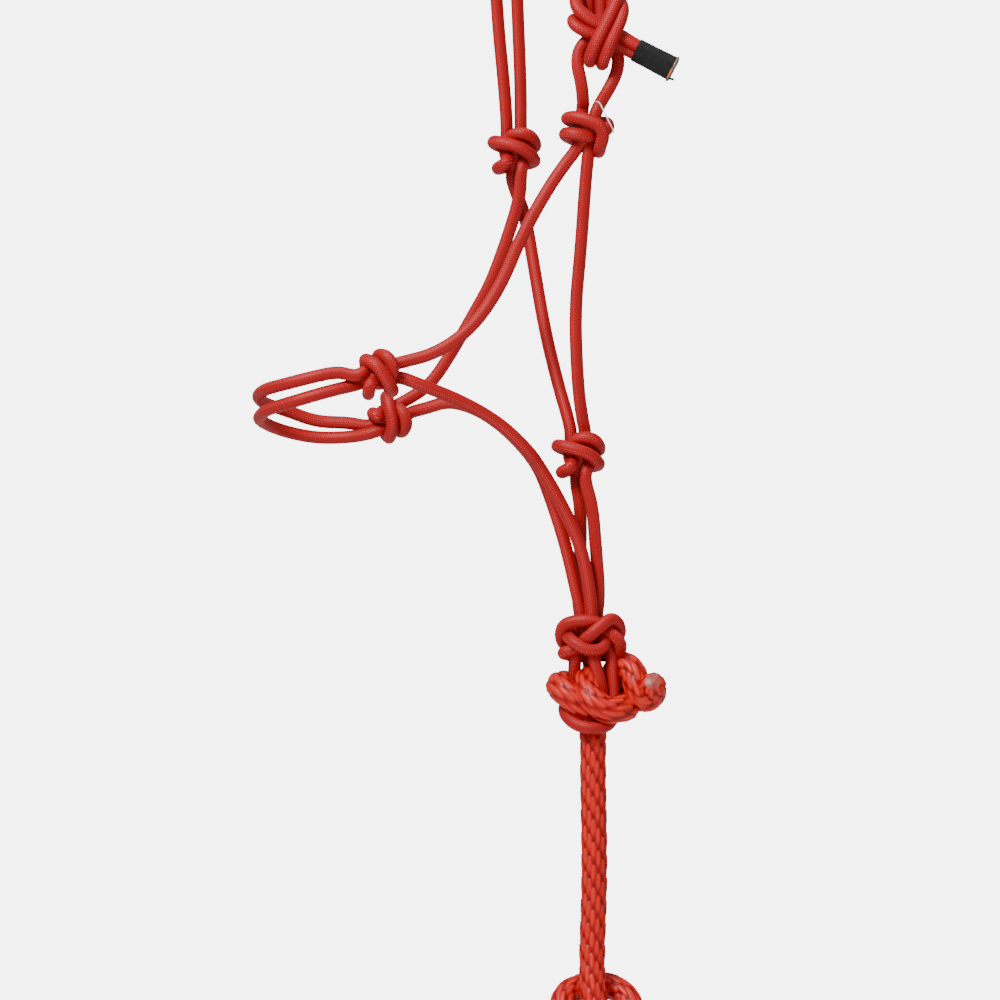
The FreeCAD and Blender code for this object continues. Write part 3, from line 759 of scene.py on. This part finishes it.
COIL_TURNS = 3.0
COIL_POINTS = 16                 # of the spline for each turn
COIL_RADIUS = 88.0
COIL_PITCH = 16.0
CROSSING = 0.14                  # of a turn, in which the rope steps over to the next turn


def coil_points():
    """The coil's turns side by side, with a short crossing from each to the next."""
    count = int(COIL_TURNS * COIL_POINTS)
    radius = COIL_RADIUS / math.cos(math.pi / COIL_POINTS) ** 0.5
    points = []
    for k in range(count + 1):
        turn = k / COIL_POINTS
        angle = math.radians(COIL_START) + 2 * math.pi * turn
        step = sum(float(smooth(n - CROSSING, n + CROSSING, turn)) for n in (1, 2))
        depth = COIL_PITCH * (step - 1)
        points.append(("coil", (radius * math.cos(angle), depth, radius * math.sin(angle))))
    return points


def make_lead():
    """The free lead rope as one cord, and the knot that ties it into the lead loop."""
    line = spline_line(spots(LEAD_UPPER + STOPPER + LEAD_LOWER + coil_points()))
    rings = even_rings(line, CORD_STEP, FINE_STRETCH, FINE_STEP)
    cord = rope_mesh("lead_rope_cord", [(rings, 0, len(rings[0]) - 1, (True, True))], lead_rope)
    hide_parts("lead_rope_upper", "lead_stopper_knot", "lead_rope_lower", "lead_coil")
    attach(cord, "lead")
    knot = tucked_rope("lead_knot_rope", [LEAD_KNOT], squeezed_rope)
    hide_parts("lead_knot")
    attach(knot, "lead")


# ---------------------------------------------------------------- simple meshes
def plain_mesh(name, verts, faces, material):
    mesh = bpy.data.meshes.new(name)
    mesh.from_pydata([tuple(v) for v in verts], [], faces)
    mesh.shade_smooth()
    mesh.materials.append(material)
    piece = bpy.data.objects.new(name, mesh)
    scene.collection.objects.link(piece)
    return piece


def side_faces(rows, around):
    """The faces between each ring of points and the next."""
    faces = []
    for row in range(rows - 1):
        for n in range(around):
            after = (n + 1) % around
            faces.append((row * around + n, row * around + after,
                          (row + 1) * around + after, (row + 1) * around + n))
    return faces


def ring_face(row, around):
    """The face that closes one ring."""
    return [row * around + n for n in range(around)]


def plain_tube(name, points, radius, material):
    """A round tube along a smooth line, closed at both ends."""
    at, centre, side, up = even_rings(spline_line(points), 0.5 * MM)
    verts = []
    around = 12
    for k in range(len(at)):
        for n in range(around):
            angle = 2 * math.pi * n / around
            out = side[k] * math.cos(angle) + up[k] * math.sin(angle)
            verts.append(centre[k] + out * radius)
    faces = side_faces(len(at), around)
    faces.append(ring_face(0, around)[::-1])
    faces.append(ring_face(len(at) - 1, around))
    return plain_mesh(name, verts, faces, material)


# ---------------------------------------------------------------- tape and melted end of the tail
TAPE_AXIS = Vector((0.885, 0, -0.465)).normalized()
TAPE_UP = Vector((0.465, 0, 0.885)).normalized()
TAPE_FRONT = Vector((0, -1, 0))
TAPE_TWIST = math.radians(44)    # the two strands lie one behind and below the other
TAPE_WIDE = TAPE_UP * math.cos(TAPE_TWIST) + TAPE_FRONT * math.sin(TAPE_TWIST)
TAPE_THIN = TAPE_FRONT * math.cos(TAPE_TWIST) - TAPE_UP * math.sin(TAPE_TWIST)
TAPE_START = KNOTS["tie"] + Vector((24.2, -4.3, -16.2)) * MM
TAPE_LENGTH = 26.5 * MM
TAPE_TIP = TAPE_START + TAPE_AXIS * TAPE_LENGTH
TAPE_AROUND = 96
TAPE_RINGS = 60
TAPE_GAP = 3.8                   # millimetres from the middle to where each rounded end is centred
TAPE_RADIUS = 4.75
END_GAP = 3.9
END_RADIUS = 5.1
# The melted end bulges past the tape and closes: how far out in millimetres, and its share of the size.
END_PROFILE = [(0.0, 0.86), (0.0, 1.0), (0.5, 1.09), (1.2, 1.1), (1.9, 1.0), (2.3, 0.8),
               (2.2, 0.4), (1.9, 0.05)]


def oval(turn, gap, radius):
    """A point on a band stretched round two strands that lie side by side."""
    angle = 2 * math.pi * turn
    lean = max(-1.0, min(1.0, 3 * math.cos(angle)))
    across = gap * lean + radius * math.cos(angle)
    return TAPE_WIDE * across + TAPE_THIN * radius * math.sin(angle)


def tape_radius(share, turn):
    """The tape's layers step where its winding edge runs; it wrinkles, and flares at its end."""
    edge = (turn - share * 0.35 - 0.12) % 1.0
    radius = TAPE_RADIUS + 0.22 * float(smooth(0.0, 0.02, edge) * (1 - smooth(0.5, 1.0, edge)))
    radius += 0.05 * math.sin(29 * turn + 11 * share) * math.sin(17 * share + 5)
    radius -= 0.18 * math.exp(-share * 40) + 0.12 * math.exp(-(1 - share) * 40)
    return radius + 0.5 * share ** 3


def make_tape():
    """Tape wound round both tail strands."""
    verts = []
    for ring in range(TAPE_RINGS + 1):
        share = ring / TAPE_RINGS
        for n in range(TAPE_AROUND):
            turn = n / TAPE_AROUND
            out = oval(turn, TAPE_GAP, tape_radius(share, turn)) * MM
            verts.append(TAPE_START + TAPE_AXIS * (TAPE_LENGTH * share) + out)
    faces = side_faces(TAPE_RINGS + 1, TAPE_AROUND)
    faces.append(ring_face(0, TAPE_AROUND))
    faces.append(ring_face(TAPE_RINGS, TAPE_AROUND))
    tape = plain_mesh("tape_wrap", verts, faces, tape_black)
    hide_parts("tail_tape")
    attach(tape, "tail")


def make_melted_end():
    """The strands' melted end past the tape, with an orange patch and a loose stub of tape."""
    verts = []
    for out, scale in END_PROFILE:
        for n in range(TAPE_AROUND):
            turn = n / TAPE_AROUND
            angle = 2 * math.pi * turn
            ragged = 1 + 0.03 * math.sin(9 * angle + 1) + 0.02 * math.sin(23 * angle)
            lump = 0.35 * math.sin(3 * angle + 2) * (1 - scale) + 0.15 * math.sin(40 * turn)
            spot = TAPE_TIP + TAPE_AXIS * ((out + lump * (out > 1)) * MM)
            verts.append(spot + oval(turn, END_GAP, END_RADIUS) * (scale * ragged * MM))
    faces = side_faces(len(END_PROFILE), TAPE_AROUND)
    faces.append(ring_face(0, TAPE_AROUND))
    faces.append(ring_face(len(END_PROFILE) - 1, TAPE_AROUND))
    end = plain_mesh("tape_end", verts, faces, melted)
    end.data.materials.append(melted_orange)
    for face in end.data.polygons:
        offset = face.center - TAPE_TIP
        low = -offset.dot(TAPE_UP) > 1.5 * MM
        if low and offset.y < -1.0 * MM and offset.dot(TAPE_AXIS) < 1.3 * MM:
            face.material_index = 1
    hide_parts("tail_melted_end")
    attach(end, "tail")
    stub_offsets = [(-3.0, 1, -5.5), (-1.2, 0, -7.0), (1.6, -1.0, -7.4)]
    stub_points = [TAPE_TIP + Vector(offset) * MM for offset in stub_offsets]
    stub = plain_tube("tape_stub", stub_points, 0.8 * MM, tape_black)
    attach(stub, "tail")


# ---------------------------------------------------------------- tag thread and coil strap
THREAD = at_knot("cheek_near", [
    (6.5, -3, 18), (8.6, -9, 18), (11, -15, 12.5), (14, -17.5, 6), (17, -16, 0.5), (18.5, -10, -3)])


def make_thread():
    """The white thread of a tag, lying across the near cheek knot."""
    thread = plain_tube("tag_thread", spots(THREAD), 0.42 * MM, thread_white)
    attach(thread, "halter")


def colour_strap():
    """The CAD's own strap round the coil, in the tape's black."""
    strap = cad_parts["coil_tie"].data
    strap.materials.clear()
    strap.materials.append(tape_black)


make_camera()
make_lead()
make_halter()
make_fiador()
make_tape()
make_melted_end()
make_thread()
make_studio()
colour_strap()
